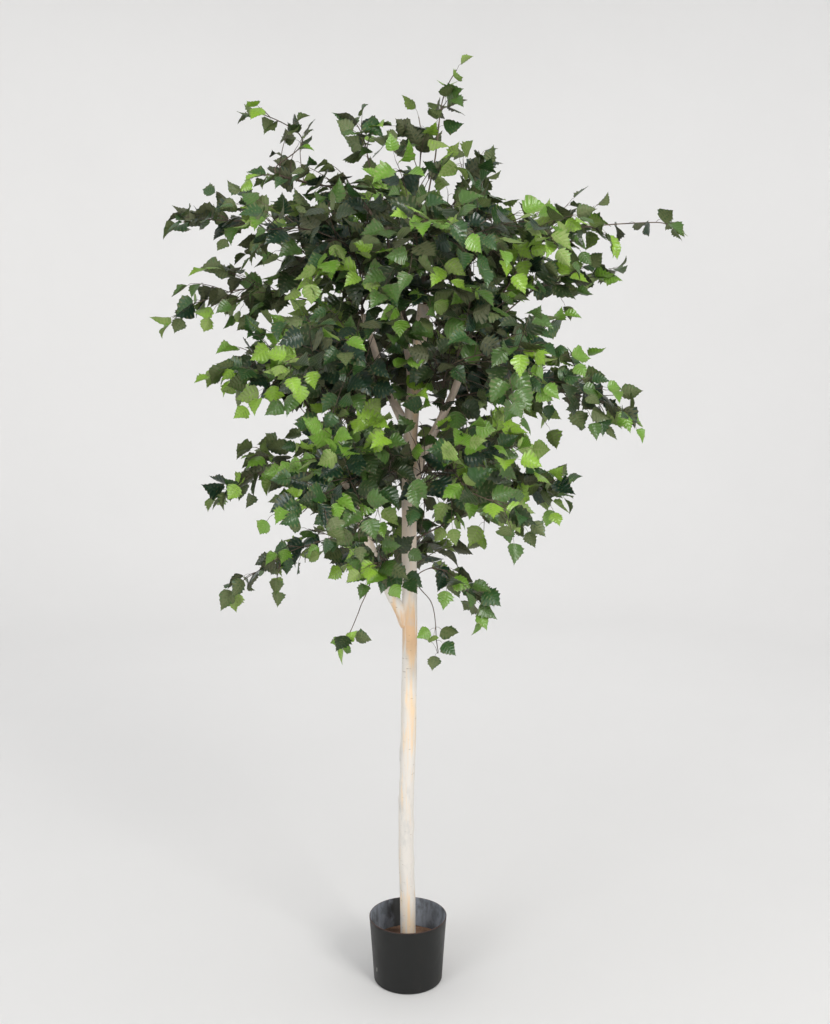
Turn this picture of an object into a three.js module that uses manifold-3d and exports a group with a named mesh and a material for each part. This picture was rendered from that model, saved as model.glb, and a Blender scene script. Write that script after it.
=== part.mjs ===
// An artificial birch tree: a painted wooden pole with side stems, stuck in a filled plastic pot,
// that carries wired sprays of leaves. Millimetres, +Z up, origin at the centre of the pot's underside.
import * as THREE from 'three';
import { mergeVertices } from 'three/addons/utils/BufferGeometryUtils.js';
import Module from 'manifold-3d';

const wasm = await Module();
wasm.setup();

// ---- Driving dimensions -------------------------------------------------------------------------

const GAP = 0.3; // clearance between pieces that touch

const POT_HEIGHT = 180;
const POT_RIM_RADIUS = 104;
const POT_FOOT_RADIUS = 94;
const POT_WALL = 2.4;
const POT_FLOOR = 3;
const POT_EDGE = 5; // rounding of the bottom edge
const POT_SIDES = 32;
const FILL_TOP = 103;
const FILL_PLAY = 0.9; // how far the filler stays clear of the pot's wall, beside its rounded floor

const POLE_TOP = 1800;
const POLE_RADII = [21.5, 20.8, 20.3, 20.3, 20, 19.4, 18.4, 16.5];
const LUMP = 0.2; // how uneven a mass of leaves is
const TIP_TAPER = 0.6; // how much thinner a mass is at its tip than at its inner end
const ARCH = 0.08; // how far a mass arches, as a share of its length
const SIDES = { large: 9, small: 8 }; // sides of a mass round its length
const FOOT_BAND = 2; // how far above its foot the pole's cut end reaches before it is made level

// ---- Materials ----------------------------------------------------------------------------------

const material = (color, roughness) => new THREE.MeshStandardMaterial({ color, roughness, metalness: 0 });
const plastic = material(0x2d2f2e, 0.5);
const filler = material(0x5a4636, 0.95);
const paintedWood = material(0xe0d3bf, 0.75);
const wireBark = material(0x4a3c30, 0.7);
const leafGreens = [0x2a4a2a, 0x35602c, 0x507d33].map((green) => material(green, 0.5));

// ---- Solids and cuts ----------------------------------------------------------------------------

function toSolid(geometry) {
  const plain = geometry.clone();
  plain.deleteAttribute('normal');
  plain.deleteAttribute('uv');
  const merged = mergeVertices(plain, 1e-4);
  const vertProperties = new Float32Array(merged.attributes.position.array);
  const triVerts = new Uint32Array(merged.index.array);
  return new wasm.Manifold(new wasm.Mesh({ numProp: 3, vertProperties, triVerts }));
}

function toGeometry(solid) {
  const { vertProperties, triVerts } = solid.getMesh();
  const geometry = new THREE.BufferGeometry();
  geometry.setAttribute('position', new THREE.BufferAttribute(new Float32Array(vertProperties), 3));
  geometry.setIndex(new THREE.BufferAttribute(new Uint32Array(triVerts), 1));
  geometry.computeVertexNormals();
  return geometry;
}

function largestBody(solid) {
  return solid.decompose().sort((a, b) => b.volume() - a.volume())[0];
}

// True where the boxes of two solids meet, so that only real neighbours are cut.
function near(a, b) {
  const boxA = a.boundingBox();
  const boxB = b.boundingBox();
  return [0, 1, 2].every((k) => boxA.min[k] < boxB.max[k] && boxB.min[k] < boxA.max[k]);
}

function cutRound(solid, neighbours) {
  return neighbours.reduce((rest, n) => (near(rest, n) ? largestBody(rest.subtract(n)) : rest), solid);
}

// ---- Limbs --------------------------------------------------------------------------------------

function valueAt(values, t) {
  const place = t * (values.length - 1);
  const index = Math.min(Math.floor(place), values.length - 2);
  return THREE.MathUtils.lerp(values[index], values[index + 1], place - index);
}

function limbPath({ points }) {
  return new THREE.CatmullRomCurve3(points.map((p) => new THREE.Vector3(...p)));
}

// One tapering limb along a smooth curve. "spare" makes it thicker all round, for cutting with.
function limbGeometry({ points, radii, sides, rings, spare = 0 }) {
  const path = limbPath({ points });
  const frames = path.computeFrenetFrames(rings);
  const geometry = new THREE.CylinderGeometry(1, 1, 1, sides, rings);
  const position = geometry.attributes.position;
  for (let i = 0; i < position.count; i += 1) {
    const ring = Math.round((position.getY(i) + 0.5) * rings);
    const t = ring / rings;
    const radius = valueAt(radii, t) + spare;
    const vertex = path.getPointAt(t);
    vertex.addScaledVector(frames.normals[ring], position.getX(i) * radius);
    vertex.addScaledVector(frames.binormals[ring], -position.getZ(i) * radius);
    if (ring === 0) {
      vertex.addScaledVector(frames.tangents[0], -spare);
    }
    if (ring === rings) {
      vertex.addScaledVector(frames.tangents[rings], spare);
    }
    position.setXYZ(i, vertex.x, vertex.y, vertex.z);
  }
  return geometry;
}

// The pole leans and kinks a little, as a turned and sanded stem does. Its foot is cut flat.
const POLE = {
  points: [
    [0, 0, FILL_TOP + GAP],
    [-1, 2, 250],
    [-6, 4, 400],
    [0, 0, 620],
    [5, -5, 950],
    [4, 2, 1300],
    [9, 6, 1520],
    [27, 2, 1670],
    [42, -4, POLE_TOP],
  ],
  radii: POLE_RADII,
  sides: 12,
  rings: 14,
};

function poleGeometry(spare = 0) {
  const geometry = limbGeometry({ ...POLE, spare });
  const position = geometry.attributes.position;
  const foot = FILL_TOP + GAP;
  for (let i = 0; i < position.count; i += 1) {
    if (position.getZ(i) < foot + FOOT_BAND) {
      position.setZ(i, foot - spare);
    }
  }
  return geometry;
}

// The side stems leave the pole at a fork. The stubs end in a saw cut, and the leaders are stout wire.
const SIDE_LIMBS = {
  left_stem: {
    points: [
      [0, -5, 975],
      [-22, -9, 1022],
      [-45, -15, 1068],
      [-89, -26, 1178],
      [-137, -40, 1310],
      [-200, -54, 1454],
    ],
    radii: [13, 12.5, 11.5, 10.5, 9, 8],
    finish: paintedWood,
  },
  right_stem: {
    points: [[8, 0, 1325], [45, -16, 1440], [72, -26, 1494], [110, -36, 1570], [157, -48, 1704]],
    radii: [12.5, 11.5, 10.5, 9.5, 8.5],
    finish: paintedWood,
  },
  left_stub: {
    points: [[-4, 6, 1488], [-34, 10, 1554], [-62, 14, 1621], [-76, 16, 1668], [-111, 20, 1776]],
    radii: [11.5, 10.5, 9.5, 9, 8],
    finish: paintedWood,
  },
  back_stub: {
    points: [[12, 10, 1560], [6, 60, 1650], [-12, 84, 1740], [-38, 96, 1850]],
    radii: [11.5, 10, 9, 8],
    finish: paintedWood,
  },
  main_leader: {
    points: [[44, -4, 1802], [42, -2, 1870], [41, 0, 1930], [40, 3, 1990]],
    radii: [6, 5.5, 5, 4.5],
    finish: wireBark,
  },
  left_leader: {
    points: [[28, 6, 1690], [-14, 34, 1790], [-42, 30, 1900], [-56, 16, 2060]],
    radii: [5.5, 5, 4.5, 3.8],
    finish: wireBark,
  },
};

// ---- Masses of leaves ---------------------------------------------------------------------------

// One spray's leaves as a closed, lumpy body from its inner end to its tip.
function massGeometry({ from, to, breadth, depth, seed, sides, spare = 0 }) {
  const up = new THREE.Vector3(0, 0, 1);
  const axis = to.clone().sub(from);
  const steep = Math.abs(axis.z) > 0.9 * axis.length();
  const side = (steep ? new THREE.Vector3(0, 1, 0) : up.clone().cross(axis)).normalize();
  const lift = axis.clone().cross(side).normalize();
  const arch = steep ? 0 : ARCH * axis.length();
  const stretch = 1 + (2 * spare) / axis.length();
  const geometry = new THREE.SphereGeometry(1, sides, sides - 2);
  geometry.rotateZ(-Math.PI / 2);
  const position = geometry.attributes.position;
  for (let i = 0; i < position.count; i += 1) {
    const [a, b, c] = [position.getX(i), position.getY(i), position.getZ(i)];
    const t = (a * stretch + 1) / 2;
    const waves = Math.sin(5.3 * a + seed) * Math.cos(3.1 * b - 2 * seed);
    const ripples = 0.7 * Math.sin(4.3 * c + 3 * seed);
    const girth = (1 + LUMP * (waves + ripples)) * (1 + TIP_TAPER * (0.5 - t));
    const vertex = from.clone().addScaledVector(axis, t);
    vertex.addScaledVector(side, b * ((breadth / 2) * girth + spare));
    vertex.addScaledVector(lift, c * ((depth / 2) * girth + spare));
    vertex.z += 4 * arch * t * (1 - t);
    position.setXYZ(i, vertex.x, vertex.y, vertex.z);
  }
  return geometry;
}

// A point at a compass angle from the pole: 0 is to the right, 90 to the back.
function polar(angle, radius, height) {
  const a = THREE.MathUtils.degToRad(angle);
  return new THREE.Vector3(radius * Math.cos(a), radius * Math.sin(a), height);
}

// The sprays that make the crown's outline. Each row is a compass angle, the distance from the
// pole of the inner end and of the tip, their two heights, and the breadth and depth of leaves.
const OUTER_SPRAYS = {
  upper_left_tip: [177, 185, 443, 2165, 2285, 130, 90],
  upper_left: [180, 100, 425, 2050, 2112, 180, 135],
  high_left: [184, 275, 603, 1950, 2008, 240, 165],
  middle_left: [178, 320, 623, 1830, 1768, 230, 190],
  low_left: [186, 280, 505, 1685, 1595, 230, 190],
  lower_left: [177, 250, 508, 1415, 1290, 240, 200],
  bottom_left: [184, 160, 490, 1232, 1040, 220, 145],
  bottom_front: [250, 60, 300, 1150, 1185, 250, 150],
  bottom_right: [-12, 66, 216, 1140, 1010, 190, 145],
  low_right: [2, 235, 452, 1310, 1325, 240, 190],
  middle_right: [-4, 270, 622, 1620, 1490, 240, 180],
  high_right: [6, 290, 545, 1825, 1880, 220, 150],
  upper_right: [-3, 270, 530, 1945, 1990, 250, 180],
  upper_right_tip: [0, 532, 700, 1982, 1988, 80, 50],
};

// Upright and hanging sprays, given by their two ends with the breadth and depth of leaves.
const UPRIGHT_SPRAYS = {
  top_spire: [[62, 0, 2180], [128, 0, 2396], 130, 110],
  top_left: [[-60, 14, 2065], [-140, 0, 2275], 190, 170],
  top_right: [[118, -10, 2030], [205, 6, 2195], 160, 140],
  top_middle: [[40, 4, 1985], [22, 0, 2285], 180, 180],
  hanging_left: [[-105, -100, 1075], [-180, -112, 900], 90, 70],
  hanging_right: [[62, -100, 1060], [84, -112, 886], 90, 60],
};

// The inner crown is laid in tiers. Each tier has its heights at the inner end and at the tip, its
// reach to the sides and to the front and back, its breadth and depth, and its compass angles.
const INNER_RADIUS = 80;
const TIERS = {
  bottom: {
    heights: [1175, 1095],
    reach: [300, 400],
    size: [230, 155],
    angles: [78, 130],
  },
  low: {
    heights: [1380, 1345],
    reach: [330, 540],
    size: [270, 275],
    angles: [0, 50, 124, 180, 242, 298],
  },
  middle: {
    heights: [1645, 1640],
    reach: [430, 620],
    size: [290, 260],
    angles: [0, 66, 128, 180, 240, 304],
  },
  high: {
    heights: [1910, 1930],
    reach: [370, 550],
    size: [275, 265],
    angles: [0, 48, 118, 180, 222, 275, 322],
  },
};
const SWAY = { height: 30, tip: 45, reach: 0.08 }; // how far the sprays of a tier differ
const SWAY_TURN = { angle: 0.11, height: 0.013 }; // how fast they differ with compass angle and height

function compassName(angle) {
  const names = ['right', 'back_right', 'back', 'back_left', 'left', 'front_left', 'front', 'front_right'];
  return names[Math.round(angle / 45) % 8];
}

function crownSprays() {
  const sprays = [];
  const add = (name, from, to, breadth, depth, sides) => {
    const seed = 1.7 * sprays.length;
    sprays.push({ name, from, to, breadth, depth, sides, seed });
  };
  for (const [name, [angle, inner, reach, low, high, breadth, depth]] of Object.entries(OUTER_SPRAYS)) {
    add(name, polar(angle, inner, low), polar(angle, reach, high), breadth, depth, SIDES.small);
  }
  for (const [name, [from, to, breadth, depth]] of Object.entries(UPRIGHT_SPRAYS)) {
    add(name, new THREE.Vector3(...from), new THREE.Vector3(...to), breadth, depth, SIDES.small);
  }
  for (const [tier, { heights, reach, size, angles }] of Object.entries(TIERS)) {
    for (const angle of angles) {
      const sway = Math.sin(angle * SWAY_TURN.angle + heights[0] * SWAY_TURN.height);
      const facing = Math.abs(Math.sin(THREE.MathUtils.degToRad(angle)));
      const radius = THREE.MathUtils.lerp(...reach, facing) * (1 + SWAY.reach * sway);
      const from = polar(angle, INNER_RADIUS, heights[0] + SWAY.height * sway);
      const to = polar(angle, radius, heights[1] - SWAY.tip * sway);
      add(`${tier}_${compassName(angle)}_leaves`, from, to, ...size, SIDES.large);
    }
  }
  return sprays;
}

// ---- Thin boughs --------------------------------------------------------------------------------

const BOUGH_RADII = [4.2, 3.6, 3];
const BOUGH_RISE = 45; // how much higher a bough ends than it starts
const BOUGH_FALL = 70; // how much lower the bough of a hanging spray ends than it starts
const BOUGH_LIFT = 0.65; // share of its rise that a bough has made half way along
const BOUGH_STEPS = 60; // places along a limb that a bough may start from
const BOUGH_REACH_IN = 30; // how far a bough's line runs on inside its mass before it is cut
const BOUGHS = [
  'bottom_left',
  'bottom_right',
  'hanging_left',
  'hanging_right',
  'bottom_back_left_leaves',
  'bottom_front',
  'low_front_left_leaves',
  'low_front_right_leaves',
  'low_back_left_leaves',
  'low_back_right_leaves',
];

// A wire bough from the nearest woody limb to the inner end of a mass. A hanging mass has it from above.
function boughShape({ from, to }, paths) {
  const hanging = from.z - to.z > Math.hypot(to.x - from.x, to.y - from.y);
  const level = from.clone().setZ(from.z + (hanging ? BOUGH_FALL : -BOUGH_RISE));
  const starts = paths.flatMap((path) => path.getSpacedPoints(BOUGH_STEPS));
  const root = starts.sort((a, b) => a.distanceTo(level) - b.distanceTo(level))[0];
  const inward = to.clone().sub(from).setLength(BOUGH_REACH_IN);
  const half = root.clone().lerp(from, 0.5);
  const middle = half.setZ(THREE.MathUtils.lerp(root.z, from.z, BOUGH_LIFT));
  const points = [root, middle, from, from.clone().add(inward)].map((p) => p.toArray());
  return { points, radii: BOUGH_RADII, sides: 5, rings: 4 };
}

// ---- Assembly -----------------------------------------------------------------------------------

const tree = new THREE.Group();

function addMesh(name, geometry, finish) {
  const mesh = new THREE.Mesh(geometry, finish);
  mesh.name = name;
  tree.add(mesh);
}

function latheGeometry(profile) {
  const geometry = new THREE.LatheGeometry(profile, POT_SIDES);
  geometry.rotateX(Math.PI / 2);
  return geometry;
}

function potRadius(height) {
  return THREE.MathUtils.lerp(POT_FOOT_RADIUS, POT_RIM_RADIUS, height / POT_HEIGHT);
}

function potProfile() {
  const corner = new THREE.Vector2(potRadius(POT_EDGE) - POT_EDGE, POT_EDGE);
  const edge = [-90, -45, 0].map((angle) => {
    const a = THREE.MathUtils.degToRad(angle);
    return new THREE.Vector2(corner.x + POT_EDGE * Math.cos(a), corner.y + POT_EDGE * Math.sin(a));
  });
  return [
    new THREE.Vector2(0, 0),
    ...edge,
    new THREE.Vector2(POT_RIM_RADIUS, POT_HEIGHT),
    new THREE.Vector2(POT_RIM_RADIUS - POT_WALL, POT_HEIGHT),
    new THREE.Vector2(potRadius(POT_FLOOR) - POT_WALL - POT_FLOOR, POT_FLOOR),
    new THREE.Vector2(0, POT_FLOOR),
  ];
}

function fillProfile() {
  const bottom = POT_FLOOR + GAP;
  const inset = POT_WALL + POT_FLOOR + FILL_PLAY;
  return [
    new THREE.Vector2(0, bottom),
    new THREE.Vector2(potRadius(POT_FLOOR) - inset, bottom),
    new THREE.Vector2(potRadius(FILL_TOP) - inset, FILL_TOP),
    new THREE.Vector2(0, FILL_TOP),
  ];
}

addMesh('pot', latheGeometry(potProfile()), plastic);
addMesh('pot_fill', latheGeometry(fillProfile()), filler);
addMesh('trunk', poleGeometry(), paintedWood);

const wood = [toSolid(poleGeometry(GAP))];
for (const [name, { points, radii, finish }] of Object.entries(SIDE_LIMBS)) {
  const shape = { points, radii, sides: 8, rings: 6 };
  addMesh(name, toGeometry(cutRound(toSolid(limbGeometry(shape)), wood)), finish);
  wood.push(toSolid(limbGeometry({ ...shape, spare: GAP })));
}

const leaves = [];
const sprays = crownSprays();
sprays.forEach((spray, index) => {
  const solid = cutRound(toSolid(massGeometry(spray)), [...wood, ...leaves]);
  addMesh(spray.name, toGeometry(solid), leafGreens[index % leafGreens.length]);
  leaves.push(toSolid(massGeometry({ ...spray, spare: GAP })));
});

const paths = [POLE, ...Object.values(SIDE_LIMBS)].map(limbPath);
for (const name of BOUGHS) {
  const shape = boughShape(sprays.find((spray) => spray.name === name), paths);
  const solid = cutRound(toSolid(limbGeometry(shape)), [...wood, ...leaves]);
  addMesh(`${name.replace('_leaves', '')}_bough`, toGeometry(solid), wireBark);
}

export default tree;
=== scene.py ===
"""An artificial birch tree in a black plastic pot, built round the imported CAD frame.

The pole and the side stems get a skin of painted, sanded wood. Every mass of leaves in the frame is
replaced by wires, sprigs and leaves that grow on from the woody limbs by one seeded branching rule.
"""
import math

import bpy
import numpy as np
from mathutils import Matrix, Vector, noise
from mathutils.bvhtree import BVHTree
from mathutils.kdtree import KDTree


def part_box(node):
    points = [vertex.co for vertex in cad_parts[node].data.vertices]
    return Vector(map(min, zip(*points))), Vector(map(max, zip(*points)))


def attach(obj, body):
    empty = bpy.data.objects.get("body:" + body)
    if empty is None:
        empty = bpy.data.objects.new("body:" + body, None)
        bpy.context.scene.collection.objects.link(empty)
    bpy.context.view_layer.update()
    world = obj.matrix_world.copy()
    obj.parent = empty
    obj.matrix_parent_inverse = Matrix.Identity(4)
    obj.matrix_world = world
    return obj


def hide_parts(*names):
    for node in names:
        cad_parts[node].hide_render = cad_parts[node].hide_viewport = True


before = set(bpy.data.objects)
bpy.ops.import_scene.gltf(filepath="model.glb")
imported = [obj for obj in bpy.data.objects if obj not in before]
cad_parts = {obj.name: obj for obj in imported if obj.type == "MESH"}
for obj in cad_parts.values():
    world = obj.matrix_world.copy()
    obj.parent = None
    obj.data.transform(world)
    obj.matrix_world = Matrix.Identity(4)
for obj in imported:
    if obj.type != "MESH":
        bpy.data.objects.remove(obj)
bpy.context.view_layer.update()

UP = np.array([0.0, 0.0, 1.0])
FRONT = np.array([0.0, -1.0, 0.0])

# ---- Sizes, in metres ----

LEAF_LENGTH = 0.065
LEAF_THICKNESS = 0.0004
LEAF_SHAPES = 16  # differently folded and curled leaf shapes
LEAF_SEED = 40
LEAVES_PER_AREA = 2050  # leaves for a mass, per square metre of its volume to the power 2/3
LEAVES_PER_SPRIG = 4.8
WIRE_STEPS = 60
LEAF_STEP = 0.024  # along a sprig
WIRE_RADII = (0.0023, 0.0011)
HANGING_RADII = (0.0015, 0.0008)
SPRIG_RADII = (0.0012, 0.0007)
PETIOLE_RADII = (0.0006, 0.00045)
PETIOLE_LENGTH = 0.017
LOOSE = 0.035  # how much further out the sprigs of a broad mass may end than those of a slim one
RISE = 0.13  # how far below its mass a wire leaves the wood
TIP_MARGINS = (0.06, 0.03)  # a level and an upright wire stop this far inside the end of their mass

POLES = ["trunk", "left_stem", "right_stem", "left_stub", "back_stub"]
LEADERS = ["main_leader", "left_leader"]
BOUGHS = [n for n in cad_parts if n.endswith("_bough")]
WOODY = POLES + LEADERS + BOUGHS
MASSES = sorted(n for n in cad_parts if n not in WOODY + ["pot", "pot_fill"])


# ---- Small vector and mesh helpers ----

def unit(v):
    v = np.asarray(v, float)
    return v / max(np.linalg.norm(v), 1e-9)


def across(v, axis):
    """The part of v at right angles to axis, as a unit vector."""
    v = np.asarray(v, float) - np.dot(v, axis) * axis
    return unit(v)


def smooth_path(points, count):
    """A Catmull-Rom curve through the points, as count evenly spaced places."""
    p = np.asarray(points, float)
    p = np.vstack([2 * p[0] - p[1], p, 2 * p[-1] - p[-2]])
    spans = len(p) - 3
    t = np.linspace(0, spans, 12 * spans + 1)
    k = np.minimum(t.astype(int), spans - 1)
    f = (t - k)[:, None]
    a, b, c, d = p[k], p[k + 1], p[k + 2], p[k + 3]
    square, cube = 2 * a - 5 * b + 4 * c - d, 3 * b - a - 3 * c + d
    curve = 0.5 * (2 * b + (c - a) * f + square * f**2 + cube * f**3)
    run = np.concatenate([[0], np.cumsum(np.linalg.norm(np.diff(curve, axis=0), axis=1))])
    even = np.linspace(0, run[-1], count)
    return np.stack([np.interp(even, run, curve[:, i]) for i in range(3)], 1)


def path_frames(path):
    """Tangents and two turning-free side vectors for each place on a path."""
    tangents = np.gradient(path, axis=0)
    tangents /= np.maximum(np.linalg.norm(tangents, axis=1), 1e-9)[:, None]
    first = np.array([1.0, 0, 0]) if abs(tangents[0][0]) < 0.8 else np.array([0, 1.0, 0])
    sides = [across(first, tangents[0])]
    for t in tangents[1:]:
        sides.append(across(sides[-1], t))
    sides = np.array(sides)
    return tangents, sides, np.cross(tangents, sides)


class Pile:
    """Vertices and faces that many small tubes are joined into."""

    def __init__(self):
        self.vertices, self.faces, self.count = [], [], 0

    def tube(self, path, radii, sides, caps=True):
        path = np.asarray(path, float)
        _, a, b = path_frames(path)
        radius = np.interp(np.linspace(0, 1, len(path)), np.linspace(0, 1, len(radii)), radii)
        turn = np.linspace(0, 2 * math.pi, sides, endpoint=False)
        ring = np.cos(turn)[None, :, None] * a[:, None] + np.sin(turn)[None, :, None] * b[:, None]
        vertices = (path[:, None] + radius[:, None, None] * ring).reshape(-1, 3)
        faces = grid_faces(len(path), sides)
        if caps:
            faces.append(tuple(range(sides))[::-1])
            faces.append(tuple(range(len(vertices) - sides, len(vertices))))
        self.vertices.append(vertices)
        self.faces.extend([tuple(i + self.count for i in f) for f in faces])
        self.count += len(vertices)

    def build(self, name, materials):
        return mesh_piece(name, np.vstack(self.vertices), self.faces, materials)


def grid_faces(rows, columns):
    """Quads of a closed tube: rows of rings, each with this many columns."""
    faces = []
    for r in range(rows - 1):
        for c in range(columns):
            d = (c + 1) % columns
            faces.append((r * columns + c, r * columns + d, (r + 1) * columns + d, (r + 1) * columns + c))
    return faces


def mesh_piece(name, vertices, faces, materials, slots=None):
    mesh = bpy.data.meshes.new(name)
    mesh.from_pydata(np.asarray(vertices).tolist(), [], faces)
    for material in materials:
        mesh.materials.append(material)
    if slots is not None:
        mesh.polygons.foreach_set("material_index", np.array(slots, np.int32))
    mesh.polygons.foreach_set("use_smooth", np.ones(len(faces), bool))
    mesh.update()
    return linked(name, mesh)


def linked(name, data):
    """An object of this mesh, light or camera, put in the scene."""
    made = bpy.data.objects.new(name, data)
    bpy.context.scene.collection.objects.link(made)
    return made


# Half of the outline as rows from the stalk to the tip: where the row leaves the midrib, and where it
# meets the margin, as (distance aside, distance along), in leaf lengths. Odd rows are veins that end
# in a tooth, and even rows lie in the notches between them.
LEAF_ROWS = [
    (0.000, 0.130, 0.008),
    (0.030, 0.360, 0.085),
    (0.090, 0.375, 0.170),
    (0.150, 0.495, 0.250),
    (0.220, 0.435, 0.335),
    (0.290, 0.450, 0.425),
    (0.355, 0.345, 0.490),
    (0.420, 0.335, 0.580),
    (0.485, 0.225, 0.640),
    (0.550, 0.205, 0.725),
    (0.625, 0.115, 0.775),
    (0.705, 0.092, 0.845),
    (0.790, 0.038, 0.895),
    (0.880, 0.016, 0.952),
]


# ---- Shader building blocks ----

def new_group(name, inputs, outputs):
    """An empty shader node group. Inputs are (name, kind, value), outputs are (name, kind)."""
    tree = bpy.data.node_groups.new(name, "ShaderNodeTree")
    for label, kind, value in inputs:
        socket = tree.interface.new_socket(label, in_out="INPUT", socket_type=f"NodeSocket{kind}")
        socket.default_value = value
    for label, kind in outputs:
        tree.interface.new_socket(label, in_out="OUTPUT", socket_type=f"NodeSocket{kind}")
    return tree, tree.nodes.new("NodeGroupInput").outputs, tree.nodes.new("NodeGroupOutput").inputs


def node(tree, kind, links=(), **settings):
    """Adds a node. Settings are its properties, and links are {input: value or output socket}."""
    made = tree.nodes.new(f"ShaderNode{kind}")
    for key, value in settings.items():
        setattr(made, key, value)
    for key, value in dict(links).items():
        if isinstance(value, bpy.types.NodeSocket):
            tree.links.new(value, made.inputs[key])
        else:
            made.inputs[key].default_value = value
    return made


def maths(tree, operation, a, b=0.0, clamp=False):
    return node(tree, "Math", {0: a, 1: b}, operation=operation, use_clamp=clamp).outputs[0]


def times(tree, a, b, clamp=False):
    return maths(tree, "MULTIPLY", a, b, clamp)


def plus(tree, a, b):
    return maths(tree, "ADD", a, b)


def blend_colour(tree, factor, a, b, mode="MIX"):
    mix = node(tree, "Mix", {0: factor, 6: a, 7: b}, data_type="RGBA", blend_type=mode)
    return mix.outputs[2]


def span(tree, value, low, high, to_low=0.0, to_high=1.0, kind="SMOOTHSTEP"):
    links = {0: value, 1: low, 2: high, 3: to_low, 4: to_high}
    return node(tree, "MapRange", links, interpolation_type=kind).outputs[0]


def object_place(tree, stretch):
    place = node(tree, "TexCoord").outputs["Object"]
    return node(tree, "Mapping", {0: place, 3: stretch}).outputs[0]


def object_axes(tree):
    """How far a place is across, along and up, in metres of the CAD frame."""
    return node(tree, "SeparateXYZ", {0: node(tree, "TexCoord").outputs["Object"]}).outputs


def apart(tree, a, b):
    return maths(tree, "ABSOLUTE", maths(tree, "SUBTRACT", a, b))


def noise_value(tree, place, scale, detail=3.0, roughness=0.5):
    links = {"Vector": place, "Scale": scale, "Detail": detail, "Roughness": roughness}
    return node(tree, "TexNoise", links).outputs[0]


def cells(tree, stretch, detail, roughness=0.5):
    """Noise with this many cells to a metre along each axis."""
    return noise_value(tree, object_place(tree, stretch), 1.0, detail, roughness)


def new_material(name):
    material = bpy.data.materials.new(name)
    material.use_nodes = True
    tree = material.node_tree
    tree.nodes.clear()
    shader = tree.nodes.new("ShaderNodeBsdfPrincipled")
    output = tree.nodes.new("ShaderNodeOutputMaterial")
    tree.links.new(shader.outputs[0], output.inputs[0])
    return material, tree, shader


def paint(tree, shader, colour):
    tree.links.new(colour, shader.inputs["Base Color"])


def bump(tree, shader, height, strength, distance):
    made = node(tree, "Bump", {"Strength": strength, "Distance": distance, "Height": height})
    tree.links.new(made.outputs[0], shader.inputs["Normal"])


def use_group(tree, group, **values):
    made = tree.nodes.new("ShaderNodeGroup")
    made.node_tree = group
    for label, value in values.items():
        made.inputs[label.replace("_", " ")].default_value = value
    return made.outputs


def grain_group():
    """Uneven wear: a broad mottle, a fine grain and the height that both give."""
    tree, given, out = new_group(
        "grain",
        [("Mottle Scale", "Float", 12.0), ("Grain Scale", "Float", 400.0)],
        [("Mottle", "Float"), ("Grain", "Float"), ("Height", "Float")],
    )
    place = node(tree, "TexCoord").outputs["Object"]
    mottle = noise_value(tree, place, given["Mottle Scale"], 5.0)
    grain = noise_value(tree, place, given["Grain Scale"])
    tree.links.new(span(tree, mottle, 0.35, 0.65), out["Mottle"])
    tree.links.new(grain, out["Grain"])
    height = plus(tree, times(tree, mottle, 0.4), times(tree, grain, 0.6))
    tree.links.new(height, out["Height"])
    return tree


GRAIN = grain_group()


# ---- Materials ----

# Heights between which more of the paint is rubbed off, and how much more.
DEEP_BAND = (0.87, 1.08, 0.17)
RUBBED_BANDS = (DEEP_BAND, (0.60, 0.86, 0.10), (-0.1, 0.32, 0.09))
STRIP_LEAN = 0.02  # how far the rubbed strip up the pole's front and back leans to the right, per metre


def rubbed_band(tree, height, low, high):
    """A mask that is 1 between two heights and fades out at each."""
    above = span(tree, height, low, low + 0.08)
    return times(tree, above, span(tree, height, high, high - 0.09))


def painted_wood():
    """Whitewash over orange-tan wood, rubbed through in upright strips, with short dark flecks. Up in the
    crown the wash turns pinkish tan and paler, partly painted light against the shade of the leaves.
    """
    material, tree, shader = new_material("painted_wood")
    place = object_axes(tree)
    height = place[2]
    patches = cells(tree, (42, 42, 3.6), 6.0, 0.62)
    streaks = cells(tree, (120, 120, 11), 4.0, 0.6)
    lean = times(tree, maths(tree, "SUBTRACT", height, 0.6), STRIP_LEAN)
    aside = apart(tree, place[0], lean)
    strip = span(tree, aside, 0.019, 0.005, 0, 0.105)
    worn = plus(tree, patches, plus(tree, strip, times(tree, streaks, 0.22)))
    for low, high, amount in RUBBED_BANDS:
        band = rubbed_band(tree, height, low, high)
        worn = plus(tree, worn, times(tree, band, amount))
    rubbed = span(tree, worn, 0.68, 0.87)
    # Up in the crown: the pole's own pinkish tan, made paler as painted light where the leaves shade it.
    crown_tan_and_light = span(tree, height, 1.0, 1.3)
    wash = blend_colour(tree, crown_tan_and_light, (0.71, 0.675, 0.625, 1), (0.84, 0.69, 0.56, 1))
    tan = blend_colour(tree, streaks, (0.80, 0.54, 0.29, 1), (0.92, 0.69, 0.42, 1))
    deep = times(tree, rubbed_band(tree, height, *DEEP_BAND[:2]), 0.8)
    tan = blend_colour(tree, deep, tan, (0.60, 0.34, 0.15, 1))
    colour = blend_colour(tree, times(tree, rubbed, 0.85), wash, tan)
    grey = cells(tree, (34, 34, 12), 5.0, 0.65)
    colour = blend_colour(tree, span(tree, grey, 0.5, 0.7, 0, 0.5), colour, (0.50, 0.50, 0.49, 1))
    flecks = cells(tree, (55, 55, 420), 2.0, 0.5)
    flecks = span(tree, flecks, 0.68, 0.74, 0, 0.75)
    colour = blend_colour(tree, flecks, colour, (0.20, 0.12, 0.07, 1))
    paint(tree, shader, colour)
    rough = span(tree, streaks, 0.3, 0.7, 0.55, 0.8)
    tree.links.new(rough, shader.inputs["Roughness"])
    relief_height = maths(tree, "SUBTRACT", streaks, times(tree, flecks, 0.6))
    bump(tree, shader, relief_height, 0.55, 0.0012)
    return material


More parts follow.
